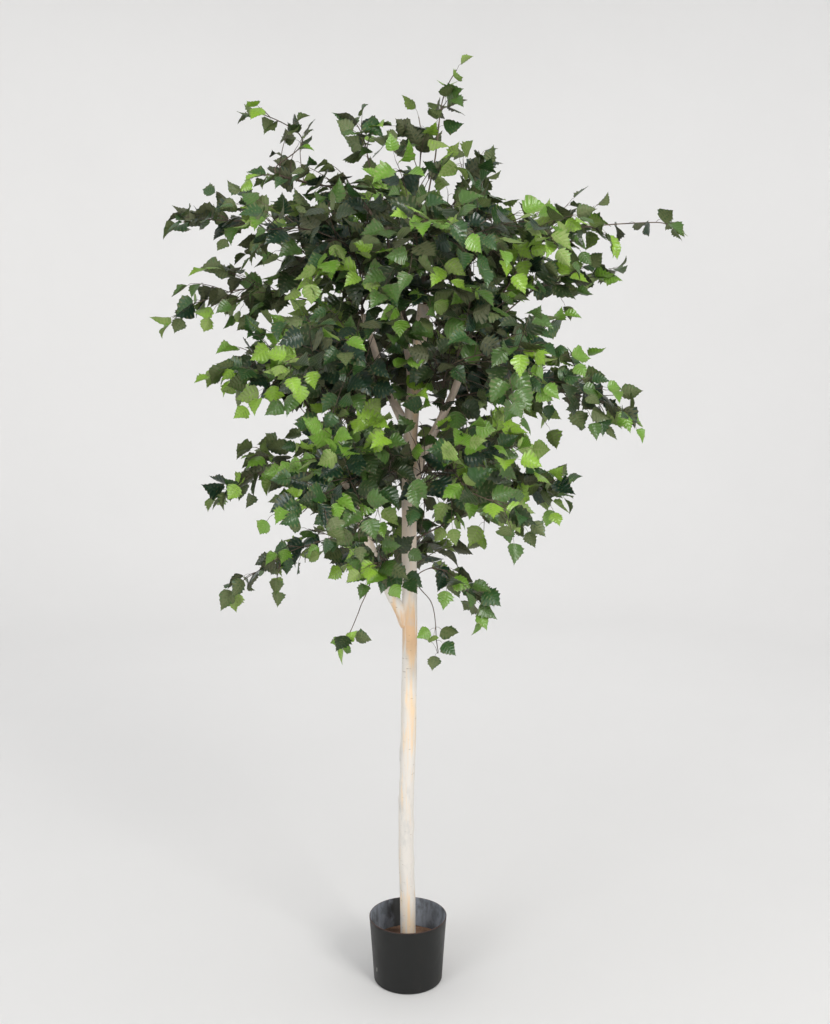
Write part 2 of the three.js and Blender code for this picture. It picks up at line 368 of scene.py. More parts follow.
def sawn_end():
    """Reddish brown end grain with rings."""
    material, tree, shader = new_material("sawn_end")
    rings = node(tree, "TexWave", {"Scale": 90.0, "Distortion": 3.0, "Detail": 2.0}, wave_type="RINGS",
                 rings_direction="Z").outputs[1]
    colour = blend_colour(tree, rings, (0.26, 0.12, 0.06, 1), (0.42, 0.22, 0.12, 1))
    paint(tree, shader, colour)
    shader.inputs["Roughness"].default_value = 0.85
    bump(tree, shader, rings, 0.4, 0.0006)
    return material


def wire_bark():
    """Brown plastic-coated wire with a paler dusty grain."""
    material, tree, shader = new_material("wire_bark")
    grain = use_group(tree, GRAIN, Mottle_Scale=30.0, Grain_Scale=900.0)
    colour = blend_colour(tree, grain["Mottle"], (0.055, 0.035, 0.024, 1), (0.13, 0.095, 0.065, 1))
    paint(tree, shader, colour)
    tree.links.new(span(tree, grain["Grain"], 0.3, 0.7, 0.5, 0.75), shader.inputs["Roughness"])
    bump(tree, shader, grain["Height"], 0.5, 0.0008)
    return material


SCRATCH = (-0.083, 0.047)  # across and up, on the front of the pot


def pot_plastic():
    """Near-black moulded plastic, satin, with faint scuffs, one pale scratch and a worn brown rim."""
    material, tree, shader = new_material("pot_plastic")
    scuffs = cells(tree, (60, 60, 700), 4.0, 0.7)
    dust = cells(tree, (14, 14, 9), 6.0, 0.7)
    place = object_axes(tree)
    low = span(tree, place[2], 0.05, 0.0)
    dusty = times(tree, span(tree, dust, 0.5, 0.75), plus(tree, low, 0.25))
    dusty = times(tree, dusty, 0.5, clamp=True)
    colour = blend_colour(tree, dusty, (0.0095, 0.010, 0.0095, 1), (0.05, 0.043, 0.037, 1))
    scratched = span(tree, scuffs, 0.7, 0.78, 0, 0.35)
    colour = blend_colour(tree, scratched, colour, (0.08, 0.08, 0.08, 1))
    aside = apart(tree, place[0], SCRATCH[0])
    above = apart(tree, place[2], SCRATCH[1])
    scratch = times(tree, span(tree, aside, 0.0010, 0.0004), span(tree, above, 0.008, 0.004))
    scratch = times(tree, scratch, maths(tree, "LESS_THAN", place[1], 0.0))
    colour = blend_colour(tree, scratch, colour, (0.42, 0.40, 0.38, 1))
    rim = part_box("pot")[1].z
    worn_rim = span(tree, place[2], rim - 0.0022, rim - 0.0006, 0, 0.8)
    colour = blend_colour(tree, worn_rim, colour, (0.075, 0.036, 0.028, 1))
    paint(tree, shader, colour)
    tree.links.new(span(tree, dust, 0.3, 0.7, 0.4, 0.58), shader.inputs["Roughness"])
    shader.inputs["Specular IOR Level"].default_value = 0.34
    bump(tree, shader, plus(tree, scuffs, dust), 0.15, 0.0005)
    return material


POLE_SHADOW_PLACE = -0.031  # across, where a painted shadow of the pole falls on the pot's inside


def pot_inside():
    """The same plastic under a mottled blue-grey film of dried water marks, with a painted shadow of the
    pole: a dark upright band where the film is left off.
    """
    material, tree, shader = new_material("pot_inside")
    streaks = cells(tree, (46, 46, 11), 6.0, 0.65)
    film = cells(tree, (26, 26, 22), 5.0, 0.62)
    amount = plus(tree, span(tree, streaks, 0.3, 0.6, 0, 0.6), span(tree, film, 0.36, 0.6, 0, 0.5))
    # Painted shadow of the pole: the film fades out near this place across, leaving the dark plastic
    # bare.
    far = apart(tree, object_axes(tree)[0], POLE_SHADOW_PLACE)
    far = plus(tree, far, times(tree, maths(tree, "SUBTRACT", film, 0.5), 0.03))
    amount = times(tree, amount, span(tree, far, 0.006, 0.022, 0.08, 1.0), clamp=True)
    colour = blend_colour(tree, amount, (0.024, 0.024, 0.022, 1), (0.24, 0.265, 0.305, 1))
    paint(tree, shader, colour)
    shader.inputs["Roughness"].default_value = 0.72
    bump(tree, shader, streaks, 0.2, 0.0006)
    return material


def pot_filler():
    """Brown painted filler with paler crumbs."""
    material, tree, shader = new_material("pot_filler")
    grain = use_group(tree, GRAIN, Mottle_Scale=35.0, Grain_Scale=260.0)
    colour = blend_colour(tree, grain["Mottle"], (0.12, 0.065, 0.040, 1), (0.29, 0.165, 0.10, 1))
    crumbs = span(tree, grain["Grain"], 0.58, 0.68, 0, 0.6)
    colour = blend_colour(tree, crumbs, colour, (0.40, 0.27, 0.18, 1))
    paint(tree, shader, colour)
    shader.inputs["Roughness"].default_value = 0.92
    bump(tree, shader, grain["Height"], 0.8, 0.004)
    return material


def leaf_group():
    """The print and pleats of a leaf. Its own coordinates run from margin to margin and, in steps of
    one row, from the stalk to the tip, so that side veins lie on the odd rows."""
    tree, given, out = new_group(
        "leaf_print",
        [("Blade", "Color", (0.02, 0.07, 0.03, 1)), ("Vein", "Color", (0.05, 0.14, 0.06, 1)),
         ("Vein Strength", "Float", 0.4), ("Margin", "Color", (0.02, 0.07, 0.03, 1))],
        [("Color", "Color"), ("Height", "Float")],
    )
    place = node(tree, "UVMap", uv_map="leaf").outputs[0]
    split = node(tree, "SeparateXYZ", {0: place}).outputs
    aside = apart(tree, split[0], 0.5)
    midrib = span(tree, aside, 0.035, 0.012)
    phase = times(tree, split[1], math.pi * len(LEAF_ROWS))
    pleat = times(tree, maths(tree, "COSINE", phase), -1.0)
    veins = times(tree, span(tree, pleat, 0.8, 0.98), span(tree, aside, 0.48, 0.3, 0.2, 0.8))
    both = maths(tree, "MAXIMUM", midrib, veins)
    mottle = noise_value(tree, place, 4.0)
    blade = blend_colour(tree, span(tree, mottle, 0.4, 0.75, 0, 0.4), given["Blade"], given["Vein"])
    blade = blend_colour(tree, span(tree, aside, 0.3, 0.5, 0, 0.6), blade, given["Margin"])
    colour = blend_colour(tree, times(tree, both, given["Vein Strength"]), blade, given["Vein"])
    tree.links.new(colour, out["Color"])
    height = times(tree, pleat, span(tree, aside, 0.0, 0.12, 0.0, 1.0))
    tree.links.new(plus(tree, height, times(tree, midrib, 1.2)), out["Height"])
    return tree


LEAF_PRINT = leaf_group()


def leaf_face(name, blade, vein, strength, roughness, sunk):
    """One face of a leaf. Sunk is 1 where its veins lie in grooves, and -1 where they stand out."""
    material, tree, shader = new_material(name)
    margin = tuple(0.8 * c for c in blade)
    made = use_group(tree, LEAF_PRINT, Blade=(*blade, 1), Vein=(*vein, 1), Vein_Strength=strength,
                     Margin=(*margin, 1))
    paint(tree, shader, made["Color"])
    shader.inputs["Roughness"].default_value = roughness
    bump(tree, shader, times(tree, made["Height"], -sunk), 0.3, 0.001)
    return material


# ---- Limbs from the frame ----

def limb_line(name, count):
    """Centre points and radii along a CAD limb, found from slices across it, lowest end first. A point
    goes on past the first and last slice to the limb's ends."""
    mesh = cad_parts[name].data
    points = np.array([v.co for v in mesh.vertices], float)
    edges = np.array([e.vertices for e in mesh.edges])
    middle = points.mean(0)
    axis = np.linalg.svd(points - middle, full_matrices=False)[2][0]
    axis = axis if axis[2] > 0 else -axis
    along = (points - middle) @ axis
    centres, radii = [], []
    for cut in np.linspace(along.min(), along.max(), count + 2)[1:-1]:
        a, b = along[edges[:, 0]], along[edges[:, 1]]
        crossing = (a - cut) * (b - cut) < 0
        t = ((cut - a) / np.where(crossing, b - a, 1))[crossing, None]
        ring = points[edges[crossing, 0]] * (1 - t) + points[edges[crossing, 1]] * t
        centre = (ring.min(0) + ring.max(0)) / 2
        centres.append(centre)
        radii.append(np.percentile(np.linalg.norm(ring - centre, axis=1), 25))
    first = centres[0] + (centres[0] - centres[1])
    last = centres[-1] + (centres[-1] - centres[-2])
    return np.array([first, *centres, last]), np.array([radii[0], *radii, radii[-1]])


TRUNK_SLICES, LIMB_SLICES, BOUGH_SLICES = 26, 9, 4
LINES = {"trunk": limb_line("trunk", TRUNK_SLICES)}
LINES.update({name: limb_line(name, LIMB_SLICES) for name in POLES[1:] + LEADERS})
LINES.update({name: limb_line(name, BOUGH_SLICES) for name in BOUGHS})
WOOD_STEPS = 60  # places along each limb that a wire may grow from
WOOD_POINTS = np.vstack([smooth_path(points, WOOD_STEPS) for points, _ in LINES.values()])
WOOD_NAMES = np.repeat(list(LINES), WOOD_STEPS)

# Places up the middle of the trunk and its radii there, for the side limbs that meet it.
HOST_STEPS = 700
HOST_SHARES = np.linspace(0, 1, TRUNK_SLICES + 2)
HOST_RADII = np.interp(np.linspace(0, 1, HOST_STEPS), HOST_SHARES, LINES["trunk"][1])
HOST_TREE = KDTree(HOST_STEPS)
for number, spot in enumerate(smooth_path(LINES["trunk"][0], HOST_STEPS)):
    HOST_TREE.insert(spot, number)
HOST_TREE.balance()
FILLET = 0.006  # how far a side limb spreads where it meets the trunk


def relief(angle, height, radius, knots, seed):
    """How far painted, sanded wood stands proud of its round: facets, hollows, knots and slits."""
    x, y = math.cos(angle), math.sin(angle)
    facets = noise.noise(Vector((x * 1.6 + seed, y * 1.6, height * 7))) * 0.045
    grain = noise.noise(Vector((x * 7, y * 7 + seed, height * 16))) * 0.014
    lumps = noise.noise(Vector((x * 0.8, y * 0.8 - seed, height * 22))) * 0.03
    total = facets + grain + lumps
    for knot_angle, knot_height, size in knots:
        turn = (angle - knot_angle + math.pi) % (2 * math.pi) - math.pi
        far = ((turn * radius / size) ** 2 + ((height - knot_height) / (1.5 * size)) ** 2)
        if far < 9:
            total += 0.16 * math.exp(-far) - 0.15 * math.exp(-far * 7)
    return radius * total


END_RINGS = (0.86, 0.45)  # rings across a sawn end, as shares of its radius
END_CROWN = 0.0008
FOOT_SINK = 0.004  # how far the trunk goes on below its CAD foot, inside the filler


def wooden_limb(name, sides, step, knot_count):
    """A limb with its relief, in rings a step apart, and its sawn end."""
    points, radii = LINES[name]
    length = np.linalg.norm(np.diff(points, axis=0), axis=1).sum()
    rows = max(int(length / step), 8)
    path = smooth_path(points, rows)
    if name == "trunk":
        low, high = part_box("trunk")
        path[:, 2] = np.interp(path[:, 2], [path[0, 2], path[-1, 2]], [low.z - FOOT_SINK, high.z])
    run = np.linspace(0, 1, rows)
    radius = np.interp(run, np.linspace(0, 1, len(radii)), radii)
    if name != "trunk":
        radius *= np.interp(run * length, (0, 0.05), (0.72, 1.0))
    _, a, b = path_frames(path)
    seed = sum(map(ord, name)) % 17
    draw = np.random.default_rng(seed)
    knots = [(draw.uniform(-3.1, 3.1), draw.uniform(0.05, 0.95) * length, draw.uniform(0.006, 0.011))
             for _ in range(knot_count)]
    vertices = []
    for r in range(rows):
        for s in range(sides):
            angle = 2 * math.pi * s / sides
            out = radius[r] + relief(angle, run[r] * length, radius[r], knots, seed)
            facing = math.cos(angle) * a[r] + math.sin(angle) * b[r]
            if name != "trunk":
                _, k, far = HOST_TREE.find(path[r] + out * facing)
                out += FILLET * math.exp(-((far - HOST_RADII[k]) / (2 * FILLET)) ** 2)
            vertices.append(path[r] + out * facing)
    last = np.array(vertices[-sides:])
    centre = last.mean(0)
    for inset in END_RINGS:
        vertices.extend(centre + (last - centre) * inset + unit(path[-1] - path[-2]) * END_CROWN)
    faces = grid_faces(rows + len(END_RINGS), sides)
    skin = (rows - 1) * sides
    faces.append(tuple(range(len(vertices) - sides, len(vertices))))
    faces.append(tuple(range(sides))[::-1])
    slots = [0] * skin + [1] * (len(faces) - skin)
    return mesh_piece(f"{name}_wood", vertices, faces, [PAINTED_WOOD, SAWN_END], slots)


# ---- Leaves ----

COLUMNS = (0.0, 0.5, 1.0)
PLEAT = 0.012  # depth of the folds between side veins, in leaf lengths


def flat_leaf():
    """Points (aside, along, lift) of one leaf with pleats between its veins, and its faces."""
    points, print_places, faces = [], [], []
    rows = len(LEAF_ROWS)
    for side in (1, -1):
        for row, (start, wide, along) in enumerate(LEAF_ROWS):
            for column in COLUMNS:
                x = wide * column * side
                y = start + (along - start) * column ** 1.15
                pleat = (-PLEAT if row % 2 else PLEAT) * (1.0 if column == 0.5 else 0.6 * column)
                points.append((x, y, pleat))
                print_places.append((0.5 + 0.5 * column * side, row / rows))
    points.append((0.0, 1.0, 0.0))
    print_places.append((0.5, 1.0))
    width = len(COLUMNS)
    for side in (0, 1):
        base = side * rows * width
        for row in range(rows - 1):
            for column in range(width - 1):
                a = base + row * width + column
                quad = (a, a + 1, a + width + 1, a + width)
                faces.append(quad if side == 0 else quad[::-1])
        last = base + (rows - 1) * width
        for column in range(width - 1):
            tri = (last + column, last + column + 1, 2 * rows * width)
            faces.append(tri if side == 0 else tri[::-1])
    return merged(np.array(points), np.array(print_places), faces)


def merged(points, print_places, faces):
    """Joins points that lie in the same place."""
    _, first, where = np.unique(np.round(points, 6), axis=0, return_index=True, return_inverse=True)
    where = where.ravel()
    return points[first], print_places[first], [tuple(int(where[i]) for i in f) for f in faces]


def bent_leaf(points, draw):
    """One leaf shape: folded along the midrib, curled lengthwise, twisted and waved."""
    fold = draw.uniform(-0.35, 0.5)
    curl = draw.uniform(-0.3, 0.9)
    twist = draw.uniform(-0.3, 0.3)
    wave = draw.uniform(0.01, 0.035)
    phase = draw.uniform(0, 6.28)
    x, y, z = points.T
    row = np.round(PRINT_PLACES[:, 1] * len(LEAF_ROWS)).astype(int)
    ragged = draw.normal(0, 0.075, (2, len(LEAF_ROWS) + 1))
    ragged[:, 0] = 0
    toward_margin = np.abs(PRINT_PLACES[:, 0] * 2 - 1)
    x = x * (draw.uniform(0.83, 0.99) + ragged[(x > 0).astype(int), row] * toward_margin)
    lift = z + wave * np.sin(9 * y + phase + np.sign(x)) * np.abs(x) * 2
    lift += np.abs(x) * math.sin(fold) + 0.25 * x**2 * math.copysign(1, fold)
    x = x * math.cos(fold)
    turned_x = x * np.cos(twist * y) - lift * np.sin(twist * y)
    lift = x * np.sin(twist * y) + lift * np.cos(twist * y)
    bend = curl * y**1.3
    along = y * np.sinc(bend / math.pi)
    drop = y * np.sin(bend / 2) * np.sinc(bend / (2 * math.pi))
    return np.stack([turned_x, along + lift * np.sin(bend), -drop + lift * np.cos(bend)], 1)


FLAT_POINTS, PRINT_PLACES, LEAF_FACES = flat_leaf()
LEAF_TRIANGLES = np.array([(f[0], f[i], f[i + 1]) for f in LEAF_FACES for i in range(1, len(f) - 1)])


def rim_of(faces, count):
    """True for the points on the open edge of a sheet."""
    used = {}
    for face in faces:
        for a, b in zip(face, face[1:] + face[:1]):
            key = (min(a, b), max(a, b))
            used[key] = used.get(key, 0) + 1
    rim = np.zeros(count, bool)
    for key, times in used.items():
        if times == 1:
            rim[list(key)] = True
    return rim


def leaf_shapes():
    """Top sheets and undersides, as points in leaf lengths, that meet at the margin."""
    rim = rim_of(LEAF_FACES, len(FLAT_POINTS))
    tops, undersides = [], []
    for k in range(LEAF_SHAPES):
        top = bent_leaf(FLAT_POINTS, np.random.default_rng(LEAF_SEED + k))
        a, b, c = (top[LEAF_TRIANGLES[:, i]] for i in range(3))
        turned = np.cross(b - a, c - a)
        normals = np.zeros_like(top)
        for i in range(3):
            np.add.at(normals, LEAF_TRIANGLES[:, i], turned)
        normals /= np.linalg.norm(normals, axis=1)[:, None]
        under = top - normals * np.where(rim, 0, LEAF_THICKNESS / LEAF_LENGTH)[:, None]
        tops.append(top)
        undersides.append(under)
    return np.array(tops), np.array(undersides)


LEAF_TOPS, LEAF_UNDERSIDES = leaf_shapes()
LEAF_UV = np.stack([0.5 + FLAT_POINTS[:, 0] * 0.98, 0.01 + FLAT_POINTS[:, 1] * 0.98], 1)


def leaf_piece(name, leaves, top_material, under_material):
    """Joins leaves, each (place, along, normal, length, shape number), into one piece."""
    place = np.array([leaf[0] for leaf in leaves])
    along = np.array([unit(leaf[1]) for leaf in leaves])
    normal = np.array([across(leaf[2], unit(leaf[1])) for leaf in leaves])
    length = np.array([leaf[3] for leaf in leaves])
    shape = np.array([leaf[4] for leaf in leaves])
    aside = np.cross(along, normal)
    axes = np.stack([aside, along, normal], 1) * length[:, None, None]
    tops = np.einsum("npi,nij->npj", LEAF_TOPS[shape], axes) + place[:, None]
    unders = np.einsum("npi,nij->npj", LEAF_UNDERSIDES[shape], axes) + place[:, None]
    count = len(FLAT_POINTS)
    vertices = np.concatenate([tops, unders], 1).reshape(-1, 3)
    one = LEAF_FACES + [tuple(i + count for i in f[::-1]) for f in LEAF_FACES]
    corners = np.concatenate(one)
    sizes = np.array([len(f) for f in one])
    loops = (corners[None] + 2 * count * np.arange(len(leaves))[:, None]).ravel()
    totals = np.tile(sizes, len(leaves))
    mesh = bpy.data.meshes.new(name)
    mesh.vertices.add(len(vertices))
    mesh.vertices.foreach_set("co", vertices.ravel())
    mesh.loops.add(len(loops))
    mesh.loops.foreach_set("vertex_index", loops)
    mesh.polygons.add(len(totals))
    mesh.polygons.foreach_set("loop_start", np.concatenate([[0], np.cumsum(totals)[:-1]]))
    mesh.polygons.foreach_set("loop_total", totals)
    mesh.materials.append(top_material)
    mesh.materials.append(under_material)
    which = np.tile(np.repeat([0, 1], len(LEAF_FACES)), len(leaves))
    mesh.polygons.foreach_set("material_index", which.astype(np.int32))
    mesh.polygons.foreach_set("use_smooth", np.ones(len(totals), bool))
    uv = LEAF_UV[corners % count]
    under_side = np.repeat([0, 1], len(corners) // 2)
    tile = np.stack([uv[:, 0] * 0.5 + 0.5 * under_side, uv[:, 1]], 1)
    places = PRINT_PLACES[corners % count]
    mesh.uv_layers.new(name="leaf").data.foreach_set("uv", np.tile(places.ravel(), len(leaves)))
    mesh.uv_layers.new(name="OFBake").data.foreach_set("uv", np.tile(tile.ravel(), len(leaves)))
    mesh.update(calc_edges=True)
    mesh.validate()
    return linked(name, mesh)


# ---- Growth: wires, sprigs and leaves in every mass ----

class Mass:
    """One leaf mass of the frame: its shape, its volume and the line from its inner end to its tip."""

    def __init__(self, name):
        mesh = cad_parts[name].data
        self.name = name
        self.points = np.array([v.co for v in mesh.vertices], float)
        faces = [tuple(p.vertices) for p in mesh.polygons]
        self.tree = BVHTree.FromPolygons(self.points.tolist(), faces)
        fans = np.array([(f[0], f[i], f[i + 1]) for f in faces for i in range(1, len(f) - 1)])
        a, b, c = (self.points[fans[:, i]] for i in range(3))
        self.volume = abs(np.einsum("ij,ij->i", a, np.cross(b, c)).sum() / 6)
        self.low, self.high = self.points.min(0), self.points.max(0)
        middle = self.points.mean(0)
        axis = np.linalg.svd(self.points - middle, full_matrices=False)[2][0]
        along = (self.points - middle) @ axis
        ends = [self.points[along < np.percentile(along, 10)].mean(0),
                self.points[along > np.percentile(along, 90)].mean(0)]
        reach = [np.linalg.norm(WOOD_POINTS - end, axis=1).min() for end in ends]
        if reach[1] < reach[0]:
            ends.reverse()
        self.inner, self.tip = ends
        self.axis = unit(self.tip - self.inner)
        self.length = np.ptp(along)

    def depth(self, point):
        """How far a place is inside the mass, or minus how far it is outside."""
        spot, normal, _, far = self.tree.find_nearest(Vector(point))
        return -math.copysign(far, (Vector(point) - spot).dot(normal))

    def spine(self):
        """Places along the middle of the mass, from its inner end to just short of its tip."""
        along = (self.points - self.inner) @ self.axis
        places = []
        for share in (0.12, 0.35, 0.6, 0.82):
            level = along.min() + share * np.ptp(along)
            near = self.points[np.abs(along - level) < 0.16 * np.ptp(along)]
            places.append((near.min(0) + near.max(0)) / 2)
        margin = np.interp(self.axis[2], (0.5, 0.9), TIP_MARGINS)
        end = self.inner + self.axis * (along.max() - margin)
        places.append(end * 0.65 + (self.points[np.argmax(along)] - self.axis * margin) * 0.35)
        return places


def anchor_for(mass, start):
    """The places that a mass's wire starts with, and the name of the wood that holds it: all along its
    own bough where it has one, or else one place on the wood, a little below the mass."""
    bough = mass.name.removesuffix("_leaves") + "_bough"
    if bough in BOUGHS:
        line = LINES[bough][0]
        if np.linalg.norm(line[0] - start) < np.linalg.norm(line[-1] - start):
            line = line[::-1]
        return list(line), bough
    lift = WOOD_POINTS - start
    cost = np.linalg.norm(lift + RISE * UP, axis=1) + 0.6 * np.maximum(lift[:, 2] + 0.3 * RISE, 0)
    cost[np.isin(WOOD_NAMES, BOUGHS)] = np.inf
    spot = int(np.argmin(cost))
    return [WOOD_POINTS[spot]], WOOD_NAMES[spot]


def sprig_path(start, heading, end, count=9):
    """An arch from the wire to a target: up and out at first, and drooping at the end."""
    gap = np.linalg.norm(end - start)
    middle = (start + end) / 2 + heading * 0.12 * gap + UP * 0.17 * gap
    t = np.linspace(0, 1, count)[:, None]
    return (1 - t) ** 2 * start + 2 * t * (1 - t) * middle + t**2 * end


TARGET_DEPTH = 0.010  # inside a mass
TARGET_TRIES = 60  # for each place wanted
TARGET_CHOICES = 14  # places drawn each time, of which the one with most room is taken


def targets_in(mass, count, draw):
    """Well spaced places for the sprigs to reach: inside a slim mass, and inside or a little outside a
    broad one."""
    loose = LOOSE if mass.name.endswith("_leaves") else 0.0
    chosen = []
    for _ in range(count * TARGET_TRIES):
        best, best_gap = None, -1
        for _ in range(TARGET_CHOICES):
            point = draw.uniform(mass.low - loose * UP, mass.high + loose * UP)
            if mass.depth(point) < TARGET_DEPTH - loose:
                continue
            gap = min([np.linalg.norm(point - c) for c in chosen], default=1.0)
            if gap > best_gap:
                best, best_gap = point, gap
        if best is not None:
            chosen.append(best)
        if len(chosen) == count:
            break
    return chosen


def softened(path, rounds=50):
    """A path with its kinks eased out. Its ends stay."""
    path = path.copy()
    for _ in range(rounds):
        path[1:-1] = path[1:-1] * 0.5 + (path[:-2] + path[2:]) * 0.25
    return path


SEEN_POLES = ["trunk", "right_stem", "left_stub"]  # the ones that show between the front sprays
POLE_POINTS = WOOD_POINTS[np.isin(WOOD_NAMES, SEEN_POLES)]
PARTED_WIDTH = 0.034  # the sprays are parted this far to either side of the wood, seen from the front
PARTED_SHARE = 0.72  # leaves left off there, between the lower and the upper height
PARTED_HEIGHTS = (1.15, 1.80)


def hides_wood(spot, draw):
    """True for most of the places right in front of the poles, where the sprays are parted."""
    if not PARTED_HEIGHTS[0] < spot[2] < PARTED_HEIGHTS[1]:
        return False
    gap = np.abs(POLE_POINTS - spot)
    near = (gap[:, 0] < PARTED_WIDTH) & (gap[:, 2] < PARTED_WIDTH) & (spot[1] < POLE_POINTS[:, 1])
    return bool(near.any()) and draw.random() < PARTED_SHARE


class Growth:
    """All the wires, sprigs, leaf stalks and leaves."""

    def __init__(self):
        self.wires, self.sprigs, self.stalks = Pile(), Pile(), Pile()
        self.leaves = {}

    def leaf(self, spot, tangent, side, size, tone, draw, at_end=False):
        """One leaf on its stalk, at a place on a sprig."""
        if hides_wood(spot, draw):
            return
        out = unit([spot[0], spot[1], 0.0]) if math.hypot(spot[0], spot[1]) > 0.03 else tangent
        aside = unit(np.cross(tangent, UP) + draw.normal(0, 0.05, 3)) * side
        droop = draw.uniform(-0.3, 0.85)
        if at_end:
            along = unit(tangent + 0.3 * draw.normal(0, 1, 3) - UP * droop * 0.5)
            stalk_out = unit(tangent)
        else:
            along = unit(0.5 * tangent + 0.72 * aside + 0.2 * out - UP * droop + draw.normal(0, 0.2, 3))
            stalk_out = unit(0.6 * tangent + 0.7 * aside + 0.2 * UP)
        base = spot + PETIOLE_LENGTH * draw.uniform(0.8, 1.3) * unit(stalk_out + 0.7 * along)
        bend = spot + 0.5 * (base - spot) + 0.003 * UP
        self.stalks.tube([spot, bend, base + along * 0.002], PETIOLE_RADII, 3, caps=False)
        facing = FRONT if spot[1] < draw.uniform(-0.1, 0.1) else -FRONT
        high = np.clip((spot[2] - 1.5) / 0.6, 0, 1)
        normal = UP * (0.55 + 0.35 * high) + out * 0.3 + facing * (0.8 - 0.5 * high)
        flipped = -1 if draw.random() < 0.14 + 0.22 * high else 1
        normal = across(flipped * normal + draw.normal(0, 0.42, 3), along)
        length = LEAF_LENGTH * size * draw.uniform(0.85, 1.12)
        shape = int(draw.integers(LEAF_SHAPES))
        self.leaves.setdefault(tone, []).append((base, along, normal, length, shape))

    def sprig(self, path, young, size, draw, bare=0.3):
        """A sprig with leaves turned to either side in turn, the darkest at its base. A young sprig
        ends in lime leaves."""
        self.sprigs.tube(path, SPRIG_RADII, 4)
        length = np.linalg.norm(np.diff(path, axis=0), axis=1).sum()
        first = min(bare * length, 0.07)
        count = max(int((length - first) / LEAF_STEP), 2)
        tangents = np.gradient(path, axis=0)
        side = draw.choice([-1, 1])
        mood = int(draw.integers(2))
        lime_from = draw.uniform(0.5, 0.8) if young else 1.1
        dark_to = draw.uniform(0.3, 0.6) if young else draw.uniform(0.45, 1.0)
        for k in range(count):
            share = (first + k * (length - first) / count) / length
            row = share * (len(path) - 1)
            low = min(int(row), len(path) - 2)
            spot = path[low] + (path[low + 1] - path[low]) * (row - low)
            side = -side
            order = (k + 1) / count
            tone = 2 if order > lime_from else 0 if order < dark_to else 1
            leaf_size = size * (1.08 - 0.22 * order)
            self.leaf(spot, unit(tangents[low]), side, leaf_size, (tone, mood), draw)
        last = (2 if young else 1, mood)
        self.leaf(path[-1], unit(path[-1] - path[-2]), side, size * 0.74, last, draw, at_end=True)

    def collar(self, wire, wood_name):
        """A dark bead of glue where a wire enters its drilled hole in the wood."""
        radius = LINES[wood_name][1].mean()
        gaps = np.linalg.norm(smooth_path(LINES[wood_name][0], 200)[None] - wire[:, None], axis=2).min(1)
        outside = int(np.argmax(gaps > radius * 0.98))
        if 0 < outside < len(wire) - 2:
            heading = unit(wire[outside + 1] - wire[outside - 1])
            spot = wire[outside]
            ends = [spot - heading * 0.006, spot, spot + heading * 0.003, spot + heading * 0.005]
            self.wires.tube(ends, (0.0052, 0.005, 0.0042, 0.0026), 10)

    def fill(self, mass, draw):
        """The wire, the sprigs and the leaves of one mass."""
        spine = mass.spine()
        if mass.name.endswith("_tip"):
            inner_spine = Mass(mass.name.removesuffix("_tip")).spine()
            roots, wood_name = anchor_for(mass, inner_spine[0])
            roots += inner_spine[:-1]
        else:
            roots, wood_name = anchor_for(mass, spine[0])
        knots = roots + [p for p in spine if np.linalg.norm(p - roots[-1]) > 0.03]
        wire = softened(smooth_path(knots, WIRE_STEPS))
        wobble = smooth_path(draw.normal(0, 0.004, (6, 3)), WIRE_STEPS)
        wire = wire + wobble * np.linspace(0, 1, WIRE_STEPS)[:, None]
        self.wires.tube(wire, HANGING_RADII if mass.axis[2] < -0.5 else WIRE_RADII, 6)
        if wood_name in POLES:
            self.collar(wire, wood_name)
        slim = mass.volume / mass.length**3
        size = np.interp(slim, (0.06, 0.16), (0.78, 1.0))
        sparse = np.interp(mass.volume, (0.0004, 0.002), (0.3, 1))
        leaf_goal = LEAVES_PER_AREA * mass.volume ** (2 / 3) * sparse
        count = max(int(leaf_goal / LEAVES_PER_SPRIG), 1)
        run = (wire - wire[0]) @ mass.axis
        grades = np.gradient(wire, axis=0)
        reach = max(run.max(), 1e-6)
        for end in targets_in(mass, count, draw):
            ahead = (end - wire[0]) @ mass.axis
            aside = np.linalg.norm(wire - end, axis=1).min()
            start = int(np.argmin(np.abs(run - (ahead - 1.1 * aside))))
            start = int(np.clip(start, 4, WIRE_STEPS - 3))
            young = draw.random() < 0.22 + 0.3 * max(ahead, 0) / reach
            self.sprig(sprig_path(wire[start], unit(grades[start]), end), young, size, draw)
        self.sprig(wire[WIRE_STEPS * 2 // 3:], draw.random() < 0.6, size, draw, bare=0.1)


def grow():
    growth = Growth()
    for name in MASSES:
        mass = Mass(name)
        growth.fill(mass, np.random.default_rng(sum(map(ord, name))))
    return growth


# ---- Pot and filler ----

def lathe(name, profile, sides, materials, slots, lift=None):
    """Turns a profile of (radius, height) round the upright axis. Slots has a number per profile span,
    and lift(x, y) raises each point."""
    vertices = []
    for radius, height in profile:
        for s in range(sides):
            angle = 2 * math.pi * s / sides
            x, y = radius * math.cos(angle), radius * math.sin(angle)
            vertices.append((x, y, height + (lift(x, y) if lift else 0)))
    faces = grid_faces(len(profile), sides)
    faces.append(tuple(range(sides))[::-1])
    faces.append(tuple(range(len(vertices) - sides, len(vertices))))
    face_slots = [slot for slot in slots for _ in range(sides)] + [slots[0], slots[-1]]
    return mesh_piece(name, vertices, faces, materials, face_slots)


